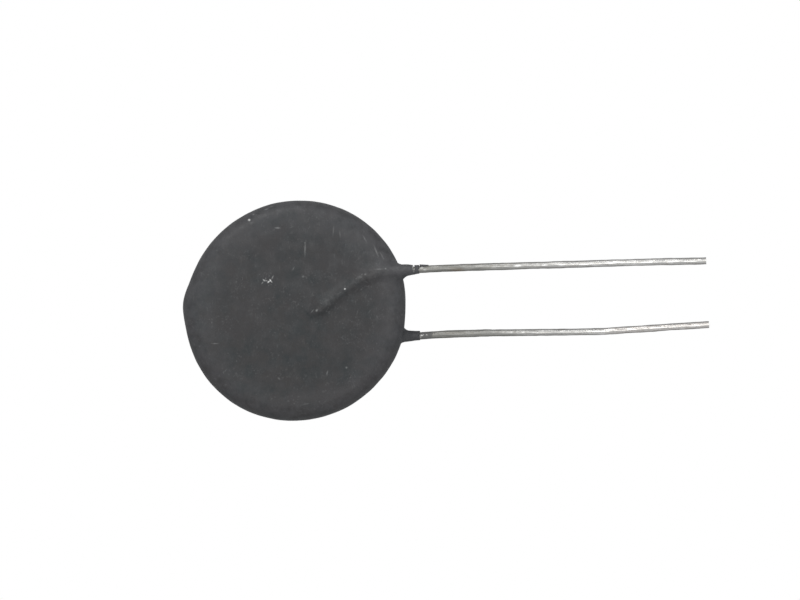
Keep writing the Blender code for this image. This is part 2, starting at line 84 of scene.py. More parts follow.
def new_finish(name, roughness, metallic=0.0, **more):
    """A material with its Principled shader's even values set, and its node tree."""
    material = bpy.data.materials.new(name)
    material.use_nodes = True
    shader = material.node_tree.nodes["Principled BSDF"]
    shader.inputs["Roughness"].default_value = roughness
    shader.inputs["Metallic"].default_value = metallic
    for socket, value in more.items():
        shader.inputs[socket.replace("_", " ")].default_value = value
    return material, material.node_tree, shader


def build_mottle():
    """Soft patches of a given size on object coordinates, out as an amount from 0 to 1."""
    tree = bpy.data.node_groups.new("mottle", "ShaderNodeTree")
    size = tree.interface.new_socket("Size", in_out="INPUT", socket_type="NodeSocketVector")
    low = tree.interface.new_socket("Low", in_out="INPUT", socket_type="NodeSocketFloat")
    high = tree.interface.new_socket("High", in_out="INPUT", socket_type="NodeSocketFloat")
    size.default_value = (MM, MM, MM)
    low.default_value, high.default_value = 0.3, 0.7
    tree.interface.new_socket("Amount", in_out="OUTPUT", socket_type="NodeSocketFloat")
    given = add_node(tree, "NodeGroupInput")
    place = add_node(tree, "ShaderNodeTexCoord").outputs["Object"]
    scaled = add_node(
        tree, "ShaderNodeVectorMath", {0: place, 1: given.outputs["Size"]}, operation="DIVIDE"
    )
    patches = add_node(
        tree,
        "ShaderNodeTexNoise",
        {"Vector": scaled.outputs[0], "Scale": 1.0, "Detail": 4.0, "Roughness": 0.55},
    )
    spread = add_node(
        tree,
        "ShaderNodeMapRange",
        {
            "Value": patches.outputs["Fac"],
            "From Min": given.outputs["Low"],
            "From Max": given.outputs["High"],
        },
    )
    out = add_node(tree, "NodeGroupOutput")
    tree.links.new(spread.outputs["Result"], out.inputs["Amount"])
    return tree


MOTTLE = build_mottle()


def mottle(tree, size, low=0.3, high=0.7):
    """Places the mottle group, with its patches' size in mm along X, Y and Z."""
    sockets = {"Size": Vector(size) * MM, "Low": low, "High": high}
    return add_node(tree, "ShaderNodeGroup", sockets, node_tree=MOTTLE).outputs["Amount"]


def blend_colours(tree, amount, first, second):
    """Mixes two colours by an amount. Each colour is a value or another node's output."""
    mix = add_node(tree, "ShaderNodeMix", {0: amount}, data_type="RGBA")
    for socket, colour in ((mix.inputs[MIX_FIRST], first), (mix.inputs[MIX_SECOND], second)):
        if isinstance(colour, bpy.types.NodeSocket):
            tree.links.new(colour, socket)
        else:
            socket.default_value = (*colour, 1.0)
    return mix.outputs[MIX_RESULT]


def arithmetic(tree, operation, first, second, clamp=False):
    """Works out one value from two, each a number or another node's output."""
    sockets = {0: first, 1: second}
    return add_node(tree, "ShaderNodeMath", sockets, operation=operation, use_clamp=clamp).outputs[0]


def product(tree, first, *others):
    """Multiplies values, each a number or another node's output."""
    for other in others:
        first = arithmetic(tree, "MULTIPLY", first, other)
    return first


def total(tree, first, *others):
    """Adds values, each a number or another node's output."""
    for other in others:
        first = arithmetic(tree, "ADD", first, other)
    return first


def ranged(tree, value, low, high, to_low=0.0, to_high=1.0):
    """Carries a value's range from low to high over to another range."""
    sockets = {
        "Value": value,
        "From Min": low,
        "From Max": high,
        "To Min": to_low,
        "To Max": to_high,
    }
    return add_node(tree, "ShaderNodeMapRange", sockets).outputs["Result"]


def band(tree, value, start, full, fades, end):
    """An amount that grows from start to full, and falls again from where it fades to its end."""
    return product(tree, ranged(tree, value, start, full), ranged(tree, value, end, fades))


def bump(tree, height, distance):
    """A normal that leans as if the surface rose by a height times a distance."""
    return add_node(tree, "ShaderNodeBump", {"Height": height, "Distance": distance}).outputs["Normal"]


def feed(tree, output, shader, socket):
    """Links a node's output to one of the shader's sockets."""
    tree.links.new(output, shader.inputs[socket])


def wear(piece, material):
    """Makes this material the piece's only one."""
    piece.data.materials.clear()
    piece.data.materials.append(material)


bpy.context.scene.view_settings.view_transform = "Standard"

bpy.ops.object.select_all(action="DESELECT")
bpy.ops.mesh.primitive_plane_add(size=FLOOR_SIZE)
floor = bpy.context.object
floor.name = "floor"
paper, tree, shader = new_finish("white_paper", 0.9, Specular_IOR_Level=0.0, Emission_Strength=1.0)
straight = add_node(tree, "ShaderNodeLightPath").outputs["Is Camera Ray"]
gap = add_node(tree, "ShaderNodeAmbientOcclusion", {"Distance": CONTACT_REACH}, samples=8).outputs["AO"]
seen = blend_colours(tree, gap, CONTACT_SHADE, PAPER_WHITE)
feed(tree, blend_colours(tree, straight, PAPER_BOUNCE, BLACK), shader, "Base Color")
feed(tree, blend_colours(tree, straight, BLACK, seen), shader, "Emission Color")
wear(floor, paper)

bpy.ops.object.camera_add(location=(*PICTURE_CENTRE, DISC_HEIGHT + CAMERA_HEIGHT))
camera = bpy.context.object
camera.name = "camera"
camera.data.lens = camera.data.sensor_width * CAMERA_HEIGHT / PICTURE_WIDTH
bpy.context.scene.camera = camera

world = bpy.data.worlds.new("studio")
world.use_nodes = True
sky = world.node_tree.nodes["Background"]
sky.inputs["Color"].default_value = SKY_COLOUR
sky.inputs["Strength"].default_value = SKY_STRENGTH
bpy.context.scene.world = world


def soft_light(name, place, size, power):
    """A square soft light that faces the part from its place."""
    aim = Vector((*PICTURE_CENTRE, 0.0)) - Vector(place)
    turn = aim.to_track_quat("-Z", "Y").to_euler()
    bpy.ops.object.light_add(type="AREA", location=place, rotation=turn)
    light = bpy.context.object
    light.name = name
    light.data.size = size
    light.data.energy = power


for settings in SOFT_LIGHTS:
    soft_light(*settings)

# The ceramic disc: metal oxides pressed and sintered, nearly black and unglazed. It fills
# the coat and is hidden by it. The CAD solid stays and gets a sintered grain.
ceramic, tree, shader = new_finish("sintered_ceramic", 0.75)
grain = mottle(tree, (0.12, 0.12, 0.12), 0.35, 0.65)
cloud = mottle(tree, (3.0, 3.0, 3.0))
tone = blend_colours(tree, cloud, (0.036, 0.035, 0.036), (0.06, 0.058, 0.057))
feed(tree, blend_colours(tree, grain, tone, (0.075, 0.072, 0.07)), shader, "Base Color")
feed(tree, ranged(tree, grain, 0.0, 1.0, 0.66, 0.86), shader, "Roughness")
feed(tree, bump(tree, grain, 0.01 * MM), shader, "Normal")
wear(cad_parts["ceramic_disc"], ceramic)

# The electrodes: silver paste printed on both faces of the ceramic and fired, matt white
# with a fine screen-print tooth. They are hidden by the coat, and the CAD solids stay.
silver, tree, shader = new_finish("fired_silver", 0.5, 1.0)
tooth = mottle(tree, (0.09, 0.09, 0.09), 0.3, 0.7)
tarnish = mottle(tree, (4.0, 4.0, 4.0), 0.45, 0.75)
tone = blend_colours(tree, tooth, (0.78, 0.77, 0.74), (0.86, 0.85, 0.83))
feed(tree, blend_colours(tree, tarnish, tone, (0.66, 0.63, 0.57)), shader, "Base Color")
feed(tree, ranged(tree, tooth, 0.0, 1.0, 0.42, 0.6), shader, "Roughness")
feed(tree, bump(tree, tooth, 0.006 * MM), shader, "Normal")
for node in ("front_electrode", "back_electrode"):
    wear(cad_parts[node], silver)

# The solder joints: tin solder that flowed over each lead's end and froze, satin with small
# frost marks. They are hidden by the coat, and the CAD solids stay.
solder, tree, shader = new_finish("frozen_solder", 0.3, 1.0)
frost = mottle(tree, (0.5, 0.5, 0.5), 0.4, 0.7)
waves = mottle(tree, (1.4, 1.4, 1.4))
feed(tree, blend_colours(tree, frost, (0.74, 0.74, 0.75), (0.6, 0.6, 0.6)), shader, "Base Color")
feed(tree, ranged(tree, frost, 0.0, 1.0, 0.2, 0.45), shader, "Roughness")
feed(tree, bump(tree, waves, 0.04 * MM), shader, "Normal")
for node in ("front_solder_joint", "back_solder_joint"):
    wear(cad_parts[node], solder)

# The leads: soft copper-clad wire, hot-dipped in tin, so its skin is uneven. Each is
# soldered to its face under the coat, leaves the rim beside the other and is cut square.
LEAD_RADIUS = 0.4 * MM
STATION = 0.3 * MM
ROUNDNESS = 12
# Heights of the leads' centre lines over the floor, in mm
FRONT_LEAD_HEIGHT = 5.839
BACK_LEAD_HEIGHT = 0.759
# The tin's lumps: how far they rise, their size, how drawn out they are along the wire, and
# where they start beside the coat
LUMP_RISE = 0.03 * MM
LUMP_SIZE = 0.55 * MM
LUMP_STRETCH = 3.0
LUMPS_START = -3.4 * MM
LUMPS_FADE = 1.2 * MM
# The cut ends: the smooth wire beside them, the bevel, the share of the height that the
# nippers left, and what the bevel takes off each lead
CUT_LENGTH = 0.3 * MM
BEVEL = 0.1 * MM
NIPPED = 0.82
FRONT_CUT_BACK = 0.13 * MM
BACK_CUT_BACK = 0.0
# Faces that meet below this angle are shaded as one, corners closer than the weld are
# merged, and a place is told from another by the same-place distance
SMOOTH_ANGLE = math.radians(40.0)
ROD_WELD = 0.001 * MM
SAME_PLACE = 0.01 * MM

# Centre lines seen from above, in mm, from the soldered end to the cut end
FRONT_LINE = (
    (-15.28, 0.5), (-10.925, 3.63), (-10.403, 3.97), (-9.853, 4.263), (-9.28, 4.506),
    (-8.687, 4.697), (-8.079, 4.834), (-7.462, 4.917), (-6.84, 4.945), (-3.891, 4.937),
    (-2.023, 5.05), (-0.156, 5.141), (1.712, 5.207), (3.579, 5.267), (5.447, 5.324),
    (7.314, 5.379), (9.182, 5.433), (11.049, 5.487), (12.917, 5.542), (14.784, 5.598),
    (16.652, 5.656), (18.519, 5.715), (20.387, 5.773), (22.254, 5.829), (24.122, 5.88),
    (25.989, 5.925), (27.857, 5.965), (29.724, 6.005), (31.592, 6.045),
)
BACK_LINE = (
    (-15.28, 1.36), (-10.925, -1.77), (-10.403, -2.11), (-9.853, -2.403), (-9.28, -2.646),
    (-8.687, -2.837), (-8.079, -2.974), (-7.462, -3.057), (-6.84, -3.085), (-3.318, -3.068),
    (-1.466, -2.947), (0.387, -2.849), (2.239, -2.778), (4.092, -2.725), (5.944, -2.694),
    (7.797, -2.674), (9.649, -2.654), (11.502, -2.635), (13.354, -2.614), (15.207, -2.588),
    (17.059, -2.558), (18.912, -2.512), (20.764, -2.405), (22.617, -2.284), (24.469, -2.161),
    (26.322, -2.037), (28.174, -1.914), (30.027, -1.798), (31.879, -1.685),
)
# Thickness of the tinned wire, as a share of the bare one: (place along X in mm, share)
FRONT_TIN = (
    (-20, 1.0), (-4, 1.0), (-2, 1.08), (4, 1.1), (12, 1.07), (20, 1.08), (28, 1.07), (40, 1.05),
)
BACK_TIN = (
    (-20, 1.0), (-4, 1.0), (-3.4, 1.1), (-1, 1.13), (4.8, 1.12), (5.6, 1.03), (15, 1.03),
    (24, 1.05), (40, 1.04),
)

# Bare scraped spots on the leads, then painted glints: x, y, length and width in mm, angle in degrees,
# strength
SCRAPES_AND_GLINTS = (
    (-2.95, 5.22, 0.42, 0.26, 20, 0.85),
    (-2.62, 4.93, 0.4, 0.22, 0, 0.8),
    (-2.98, -2.99, 0.42, 0.2, 0, 0.8),
    (-2.8, -2.93, 0.2, 0.16, 40, 0.7),
    (-2.38, -2.94, 0.32, 0.14, 10, 0.7),
    (-3.12, -3.2, 0.3, 0.34, 0, 0.55),
    # The rows from here on are painted glints: pale spots that stand for highlights on the tin
    (8.6, 5.43, 0.8, 0.26, 4, 1.35),
    (11.9, 5.53, 0.6, 0.24, 0, 1.1),
    (13.9, 5.56, 0.6, 0.24, 0, 1.2),
    (6.9, -2.64, 0.3, 0.22, 0, 0.5),
    (7.9, -2.7, 0.34, 0.2, 0, 0.5),
    (9.3, -2.62, 0.4, 0.2, 0, 0.55),
)


# The tin's colours, each pair from its darker to its paler streaks
DULL_TIN = ((0.18, 0.18, 0.168), (0.27, 0.267, 0.25))
BRIGHT_TIN = ((0.36, 0.355, 0.34), (0.6, 0.595, 0.58))
SPOT_COLOUR = (0.3, 0.28, 0.24)
STAIN_COLOUR = (0.17, 0.12, 0.07)
BLUSH_COLOUR = (0.75, 0.5, 0.4)
# The pale colour of the bare spots and of the painted glints
SCRAPE_AND_GLINT_COLOUR = (0.8, 0.8, 0.78)
FILM_COLOURS = ((0.075, 0.075, 0.073), (0.13, 0.13, 0.127))
# Where the tin turns from dull to bright along X, where the stain starts, is full, fades and
# ends, where the blush grows, and where the film of resin on the back lead ends
BRIGHTENS = (1.0 * MM, 18.5 * MM)
STAIN_ALONG = (0.1 * MM, 1.1 * MM, 1.7 * MM, 2.4 * MM)
STAIN_ACROSS = (4.0 * MM, 4.1 * MM, 4.95 * MM, 5.3 * MM)
BLUSH_ALONG = (18.0 * MM, 21.0 * MM)
FILM_ENDS = (-2.1 * MM, -1.3 * MM)
# A mark's oval, as a share of its size across and in mm through the part, and its gain
MARK_SPREAD = 0.95
MARK_DEPTH = 14.0
MARK_GAIN = 1.6


def limited(value):
    """The value, kept from 0 to 1."""
    return min(max(value, 0.0), 1.0)


def rough_noise(place, fading, octaves):
    """Fractal noise at a place, with each finer wave half as long as the one before."""
    return noise.fractal(place, fading, 2.0, octaves)


def along(line, height):
    """Stations at even steps along a centre line, in metres."""
    knots = [Vector((x, y, height)) * MM for x, y in line]
    stations = [knots[0]]
    for near, far in zip(knots, knots[1:]):
        steps = max(1, round((far - near).length / STATION))
        stations += [near.lerp(far, i / steps) for i in range(1, steps + 1)]
    return stations


def nearest(stations, x):
    """The station whose place along X is the nearest."""
    return min(stations, key=lambda station: abs(station.x - x))


def share_at(table, x):
    """Reads a table of (place in mm, value) at a place in metres, evenly between rows."""
    x /= MM
    for (near, low), (far, high) in zip(table, table[1:]):
        if x <= far:
            return low + (high - low) * max(x - near, 0.0) / (far - near)
    return table[-1][1]


def move_vertices(piece, shift):
    """Moves each vertex by what shift gives for its place."""
    for vertex in piece.data.vertices:
        vertex.co += shift(vertex.co)
    piece.data.update()


def edit_all():
    """Opens the active piece in edit mode with all of it selected."""
    bpy.ops.object.mode_set(mode="EDIT")
    bpy.ops.mesh.select_all(action="SELECT")


def turn_outward():
    """In edit mode, turns all faces outwards, and leaves edit mode."""
    bpy.ops.mesh.select_all(action="SELECT")
    bpy.ops.mesh.normals_make_consistent(inside=False)
    bpy.ops.object.mode_set(mode="OBJECT")


def pick_faces(piece, test):
    """Opens edit mode with only the faces selected whose centre passes a test."""
    bpy.ops.object.mode_set(mode="OBJECT")
    for group in (piece.data.vertices, piece.data.edges):
        for item in group:
            item.select = False
    for face in piece.data.polygons:
        face.select = test(face.center)
    bpy.ops.object.mode_set(mode="EDIT")
    bpy.ops.mesh.select_mode(type="FACE")


def drawn_rod(name, stations, radius, shares):
    """A closed round rod along its stations, each with its own share of the radius."""
    bpy.ops.object.select_all(action="DESELECT")
    bpy.ops.curve.primitive_nurbs_path_add()
    rod = bpy.context.object
    rod.name = rod.data.name = name
    rod.data.splines.clear()
    spline = rod.data.splines.new("POLY")
    spline.points.add(len(stations) - 1)
    for knot, place, share in zip(spline.points, stations, shares):
        knot.co = (*place, 1.0)
        knot.radius = share
    rod.data.bevel_depth = radius
    rod.data.bevel_resolution = ROUNDNESS
    rod.data.use_fill_caps = True
    bpy.ops.object.convert(target="MESH")
    rod = bpy.context.object
    edit_all()
    bpy.ops.mesh.remove_doubles(threshold=ROD_WELD)
    turn_outward()
    return rod


def tinned_wire(name, line, height, tin, cut_back):
    """A lead: a round wire drawn along its line, with uneven tin and a nipped, bevelled end."""
    stations = along(line, height)
    stations[-1] -= (stations[-1] - stations[-2]).normalized() * cut_back
    wire = drawn_rod(name, stations, LEAD_RADIUS, [share_at(tin, place.x) for place in stations])
    cut_end = stations[-1]
    pick_faces(wire, lambda centre: (centre - cut_end).length < SAME_PLACE)
    bpy.ops.mesh.inset(thickness=BEVEL)
    bpy.ops.transform.translate(value=(BEVEL, 0.0, 0.0))
    bpy.ops.transform.resize(value=(1.0, 1.0, NIPPED), center_override=cut_end)
    bpy.ops.object.mode_set(mode="OBJECT")

    def lump(place):
        if place.x > cut_end.x - CUT_LENGTH:
            return Vector()
        middle = nearest(stations, place.x)
        out = Vector((0.0, place.y - middle.y, place.z - middle.z)).normalized()
        swell = rough_noise(Vector((place.x / LUMP_STRETCH, place.y, place.z)) / LUMP_SIZE, 0.6, 3)
        return out * swell * LUMP_RISE * limited((place.x - LUMPS_START) / LUMPS_FADE)

    move_vertices(wire, lump)
    only(wire)
    bpy.ops.object.shade_smooth_by_angle(angle=SMOOTH_ANGLE)
    return wire


def mark_field(tree, place, centre, marks):
    """How strongly the marks show at a place: each one is a soft oval, fullest at its heart."""
    field = None
    for x, y, length, width, angle, strength in marks:
        oval = add_node(
            tree, "ShaderNodeTexGradient", {"Vector": place}, gradient_type="QUADRATIC_SPHERE"
        )
        size = Vector((MARK_SPREAD * length, MARK_SPREAD * width, MARK_DEPTH))
        oval.texture_mapping.vector_type = "TEXTURE"
        oval.texture_mapping.translation = centre + Vector((x, y, 0.0)) * MM
        oval.texture_mapping.rotation = (0.0, 0.0, math.radians(angle))
        oval.texture_mapping.scale = size * MM
        near = product(tree, oval.outputs["Fac"], MARK_GAIN * strength * strength)
        field = near if field is None else arithmetic(tree, "MAXIMUM", field, near)
    return field


def build_tin_finish():
    """Tin dipped on wire: grey and dull beside the coat, whiter and brighter further out."""
    tin, tree, shader = new_finish("hot_dipped_tin", 0.3, 1.0)
    place = add_node(tree, "ShaderNodeTexCoord").outputs["Object"]
    axes = add_node(tree, "ShaderNodeSeparateXYZ", {0: place})
    length, across = axes.outputs["X"], axes.outputs["Y"]
    outward = ranged(tree, length, *BRIGHTENS)
    streaks = mottle(tree, (2.2, 0.16, 0.16), 0.35, 0.65)
    spots = mottle(tree, (0.5, 0.28, 0.28), 0.5, 0.68)
    dull = blend_colours(tree, streaks, *DULL_TIN)
    bright = blend_colours(tree, streaks, *BRIGHT_TIN)
    tone = blend_colours(tree, outward, dull, bright)
    tone = blend_colours(tree, product(tree, spots, 0.45), tone, SPOT_COLOUR)

    stain = product(
        tree,
        band(tree, length, *STAIN_ALONG),
        band(tree, across, *STAIN_ACROSS),
        mottle(tree, (0.5, 0.3, 0.3), 0.3, 0.55),
        0.5,
    )
    tone = blend_colours(tree, stain, tone, STAIN_COLOUR)
    blush = product(
        tree,
        ranged(tree, length, *BLUSH_ALONG, 0.0, 0.05),
        ranged(tree, across, 1.0 * MM, 0.0),
    )
    tone = blend_colours(tree, blush, tone, BLUSH_COLOUR)
    # Bare scraped spots, and painted glints that stand for highlights on the tin
    scrapes_and_glints = mark_field(tree, place, Vector(), SCRAPES_AND_GLINTS)
    tone = blend_colours(tree, scrapes_and_glints, tone, SCRAPE_AND_GLINT_COLOUR)

    blotch = mottle(tree, (0.3, 0.3, 0.3))
    film_end = total(tree, ranged(tree, length, *FILM_ENDS, 1.0, 0.0), blotch)
    film = product(
        tree,
        ranged(tree, film_end, 0.85, 1.0),
        ranged(tree, across, 0.0, -0.1 * MM),
        ranged(tree, scrapes_and_glints, 0.0, 0.6, 0.95, 0.0),
    )
    smoky = blend_colours(tree, blotch, *FILM_COLOURS)
    feed(tree, blend_colours(tree, film, tone, smoky), shader, "Base Color")
    feed(tree, ranged(tree, film, 0.0, 1.0, 1.0, 0.0), shader, "Metallic")

    rough = total(
        tree,
        ranged(tree, outward, 0.0, 1.0, 0.52, 0.21),
        ranged(tree, streaks, 0.0, 1.0, 0.06, -0.04),
        product(tree, film, 0.2),
        product(tree, spots, 0.12),
    )
    feed(tree, rough, shader, "Roughness")
    height = total(tree, streaks, mottle(tree, (0.9, 0.16, 0.16)))
    feed(tree, bump(tree, height, 0.003 * MM), shader, "Normal")
    return tin


tin = build_tin_finish()
for side, line, height, thickness, cut_back in (
    ("front", FRONT_LINE, FRONT_LEAD_HEIGHT, FRONT_TIN, FRONT_CUT_BACK),
    ("back", BACK_LINE, BACK_LEAD_HEIGHT, BACK_TIN, BACK_CUT_BACK),
):
    lead = tinned_wire(f"{side}_tinned_lead", line, height, thickness, cut_back)
    wear(lead, tin)
    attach(lead, "root")
    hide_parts(f"{side}_lead")

# The coat: the soldered disc is dipped in dark resin and hung to drain by its leads. The
# resin hides the disc, stands in a ridge over each lead and ends ragged a little way out.
CAD_WELD = 0.0005 * MM
VOXEL = 0.14 * MM
ROOM = 0.04 * MM
DISC_CENTRE = Vector((-18.1799, 0.0, 3.299)) * MM
SLEEVE_END = {"front": -3.36 * MM, "back": -3.24 * MM}
SLEEVE_ROOT = -5.2 * MM
SLEEVE_FADE = 0.6 * MM
SLEEVE_TIP = 0.25 * MM
SLEEVE_LIMIT = -2.6 * MM
SLEEVE_STRETCH = Vector((0.8 * MM, 0.03 * MM, 0.0))
# Each sleeve is drawn in by a share, towards a line this far in mm beside the wire's middle
SLEEVE_DRAWN_IN = {"front": (0.133, 0.375), "back": (0.07, 0.6)}
# The ragged cutters' grid and the size of their tears
CUTTER_STEPS = 30
TEAR_SIZE = 0.35 * MM
# Rubbing down: how far each rub goes, the disc's part and the sleeves' part that are
# rubbed, and how often each is
RUB_FACTOR = 0.5
DISC_RUBBED, DISC_RUBS = -5.3 * MM, 24
SLEEVES_RUBBED, SLEEVE_RUBS = -6.2 * MM, 8
# What the rubbing took off the edge, and where it starts and how it grows from the middle
EDGE_LOSS, EDGE_START, EDGE_GROWTH = 0.055 * MM, 11.0 * MM, 1.5 * MM
# The resin's unevenness: (length of the waves, rise)
SLOW_WAVES = (3.2 * MM, 0.03 * MM)
ORANGE_PEEL = (0.55 * MM, 0.006 * MM)
# The webs' flare starts this many degrees round from the wire's far side, and is full over
# so many more
FLARE_START, FLARE_GROWTH = 85.0, 45.0
WEB_RADIUS = 0.64 * MM
# The flake: its start and stop along X in mm, its grid, its radius round the wire, the
# angle it covers at its root and how much less at its tip, its ragged edge, the size of its
# tears, and its thickness at its root in mm and how much less at its tip
FLAKE_START, FLAKE_STOP = -3.24, -2.16
FLAKE_STEPS_ALONG, FLAKE_STEPS_ROUND = 24, 8
FLAKE_RADIUS = LEAD_RADIUS * 1.09
FLAKE_COVER, FLAKE_NARROWING = 1.3, 0.7
FLAKE_JAG, FLAKE_TEARS = 0.12, 3.0
FLAKE_THICKNESS, FLAKE_THINNING = 0.2, 0.12
# Reach of the web below the wire: (place along X in mm, reach towards the pair's middle and
# reach away from it, both as shares of the web's radius)
FRONT_WEB = (
    (-6.3, 3.4, 2.8), (-5.95, 3.1, 1.9), (-5.75, 2.9, 1.35), (-5.58, 2.75, 1.06),
    (-5.28, 2.3, 1.05), (-5.14, 2.0, 1.05), (-5.07, 1.8, 1.05), (-4.83, 1.4, 1.04),
    (-4.58, 1.08, 1.02), (-4.3, 0.93, 0.96), (-4.0, 0.86, 0.9), (-3.8, 0.82, 0.86),
)
BACK_WEB = (
    (-6.2, 3.4, 3.2), (-5.85, 3.3, 3.0), (-5.58, 3.0, 2.1), (-5.38, 2.6, 1.65),
    (-5.28, 2.4, 1.42), (-5.12, 1.95, 1.3), (-5.07, 1.85, 1.28), (-4.88, 1.38, 1.2),
    (-4.58, 1.02, 1.05), (-4.3, 0.92, 0.98), (-4.0, 0.88, 0.93), (-3.8, 0.84, 0.86),
)


def finish_modifier(piece, kind, **settings):
    """Adds a modifier with these settings and applies it."""
    only(piece)
    step = piece.modifiers.new(kind.lower(), kind)
    for name, value in settings.items():
        setattr(step, name, value)
    bpy.ops.object.modifier_apply(modifier=step.name)


def cad_copy(node, name):
    """A copy of a CAD solid as a new piece, with its loose triangles merged."""
    piece = bpy.data.objects.new(name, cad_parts[node].data.copy())
    bpy.context.collection.objects.link(piece)
    only(piece)
    edit_all()
    bpy.ops.mesh.remove_doubles(threshold=CAD_WELD)
    bpy.ops.object.mode_set(mode="OBJECT")
    return piece


def ragged_block(name, place, heading, width, height, length, jag, seed):
    """A cutter with ragged faces across a line: a grid, roughened and extruded along it."""
    bpy.ops.object.select_all(action="DESELECT")
    bpy.ops.mesh.primitive_grid_add(x_subdivisions=CUTTER_STEPS, y_subdivisions=CUTTER_STEPS, size=1.0)
    block = bpy.context.object
    block.name = name
    across = Vector((-math.sin(heading), math.cos(heading), 0.0))
    ahead = Vector((math.cos(heading), math.sin(heading), 0.0))
    for vertex in block.data.vertices:
        u, v = vertex.co.x * width, vertex.co.y * height
        rough = rough_noise(Vector((u, v, 0.0)) / TEAR_SIZE + Vector((seed, 0.0, 0.0)), 0.7, 3)
        vertex.co = place + across * u + Vector((0.0, 0.0, v)) + ahead * rough * jag
    only(block)
    edit_all()
    bpy.ops.mesh.extrude_region_move(TRANSFORM_OT_translate={"value": ahead * length})
    turn_outward()
    return block


def web(name, line, height, rows, up):
    """The web of resin that hangs between a lead and the rim, flared below the wire."""
    stations = [Vector((x, share_at(line, x * MM), height)) * MM for x, _, _ in rows]
    shares = [min(1.0, inner) for _, inner, _ in rows]
    rod = drawn_rod(name, stations, WEB_RADIUS, shares)
    middle_side = -math.copysign(1.0, stations[0].y)
    inner_reach = [(x, inner) for x, inner, _ in rows]
    outer_reach = [(x, outer) for x, _, outer in rows]

    def flare(place):
        middle = nearest(stations, place.x)
        side, rise = place.y - middle.y, (place.z - middle.z) * up
        below = math.degrees(math.atan2(abs(side), rise))
        share = limited((below - FLARE_START) / FLARE_GROWTH)
        reach = share_at(inner_reach if side * middle_side > 0.0 else outer_reach, place.x)
        growth = max(reach - 1.0, 0.0) * share * share * (3.0 - 2.0 * share)
        return Vector((0.0, side, place.z - middle.z)) * growth

    move_vertices(rod, flare)
    return rod


# The solids that the coat encloses, and leaves room for
INNER = (
    "ceramic_disc",
    "front_electrode",
    "back_electrode",
    "front_solder_joint",
    "back_solder_joint",
    "front_lead",
    "back_lead",
)

coat = cad_copy("coating", "dipped_coat")
webs = [
    web("front_web", FRONT_LINE, FRONT_LEAD_HEIGHT, FRONT_WEB, 1.0),
    web("back_web", BACK_LINE, BACK_LEAD_HEIGHT, BACK_WEB, -1.0),
]
inner = [cad_copy(node, f"filling_{node}") for node in INNER]


def stretch_sleeves(place):
    """Draws each sleeve in and carries its end outwards, to be cut ragged later."""
    side, line, height = "back", BACK_LINE, BACK_LEAD_HEIGHT
    if place.z > DISC_CENTRE.z:
        side, line, height = "front", FRONT_LINE, FRONT_LEAD_HEIGHT
    share, beside = SLEEVE_DRAWN_IN[side]
    on_sleeve = limited((place.x - SLEEVE_ROOT) / SLEEVE_FADE)
    middle = Vector((place.x, share_at(line, place.x) * MM + beside * MM, height * MM))
    shift = (middle - place) * share * on_sleeve
    if place.x > SLEEVE_END[side] - SLEEVE_TIP:
        shift += SLEEVE_STRETCH
    return shift


move_vertices(coat, stretch_sleeves)
only(coat)
for filling in (*inner, *webs):
    filling.select_set(True)
bpy.ops.object.join()
edit_all()
bpy.ops.mesh.bisect(
    plane_co=(SLEEVE_LIMIT, 0.0, 0.0), plane_no=(1.0, 0.0, 0.0), use_fill=True, clear_outer=True
)
bpy.ops.object.mode_set(mode="OBJECT")
finish_modifier(coat, "REMESH", mode="VOXEL", voxel_size=VOXEL)


def smooth_where(piece, test, repeat):
    """Rubs down the faces whose centre passes a test, as with fine paper."""
    pick_faces(piece, test)
    bpy.ops.mesh.vertices_smooth(factor=RUB_FACTOR, repeat=repeat)
    bpy.ops.object.mode_set(mode="OBJECT")


only(coat)
smooth_where(coat, lambda centre: centre.x < DISC_RUBBED, DISC_RUBS)
smooth_where(coat, lambda centre: centre.x > SLEEVES_RUBBED, SLEEVE_RUBS)


def edge_given_back(place):
    """What the rubbing down took off the full edge, grown back along the normal."""
    from_middle = Vector((place.x - DISC_CENTRE.x, place.y - DISC_CENTRE.y)).length
    return EDGE_LOSS * limited((from_middle - EDGE_START) / EDGE_GROWTH)


def dip_unevenness(place):
    """Slow waves and a fine orange peel, as resin leaves them when it sets."""
    slow_length, slow_rise = SLOW_WAVES
    peel_length, peel_rise = ORANGE_PEEL
    slow = rough_noise(place / slow_length, 0.5, 2) * slow_rise
    peel = rough_noise(place / peel_length, 0.6, 2) * peel_rise
    return slow + peel


normals = [vertex.normal.copy() for vertex in coat.data.vertices]
for vertex, normal in zip(coat.data.vertices, normals):
    vertex.co += normal * (edge_given_back(vertex.co) + dip_unevenness(vertex.co))
coat.data.update()

cutters = [
    ragged_block(
        "front_end",
        Vector((SLEEVE_END["front"], 4.985 * MM, FRONT_LEAD_HEIGHT * MM)),
        heading=0.03,
        width=2.4 * MM,
        height=2.4 * MM,
        length=3.0 * MM,
        jag=0.16 * MM,
        seed=1.7,
    ),
    ragged_block(
        "back_end",
        Vector((SLEEVE_END["back"], -3.065 * MM, BACK_LEAD_HEIGHT * MM)),
        heading=0.03,
        width=2.4 * MM,
        height=2.4 * MM,
        length=3.0 * MM,
        jag=0.12 * MM,
        seed=5.2,
    ),
    ragged_block(
        "crack",
        Vector((-4.06, 5.55, FRONT_LEAD_HEIGHT)) * MM,
        heading=0.06,
        width=1.4 * MM,
        height=2.4 * MM,
        length=0.2 * MM,
        jag=0.05 * MM,
        seed=9.4,
    ),
]
for node in INNER:
    room = cad_copy(node, f"room_{node}")
    finish_modifier(room, "DISPLACE", strength=ROOM, mid_level=0.0)
    cutters.append(room)
tool_box = bpy.data.collections.new("coat_cutters")
bpy.context.scene.collection.children.link(tool_box)
for cutter in cutters:
    for group in cutter.users_collection:
        group.objects.unlink(cutter)
    tool_box.objects.link(cutter)
finish_modifier(
    coat,
    "BOOLEAN",
    operation="DIFFERENCE",
    solver="EXACT",
    operand_type="COLLECTION",
    collection=tool_box,
)
for cutter in cutters:
    bpy.data.objects.remove(cutter)
bpy.data.collections.remove(tool_box)


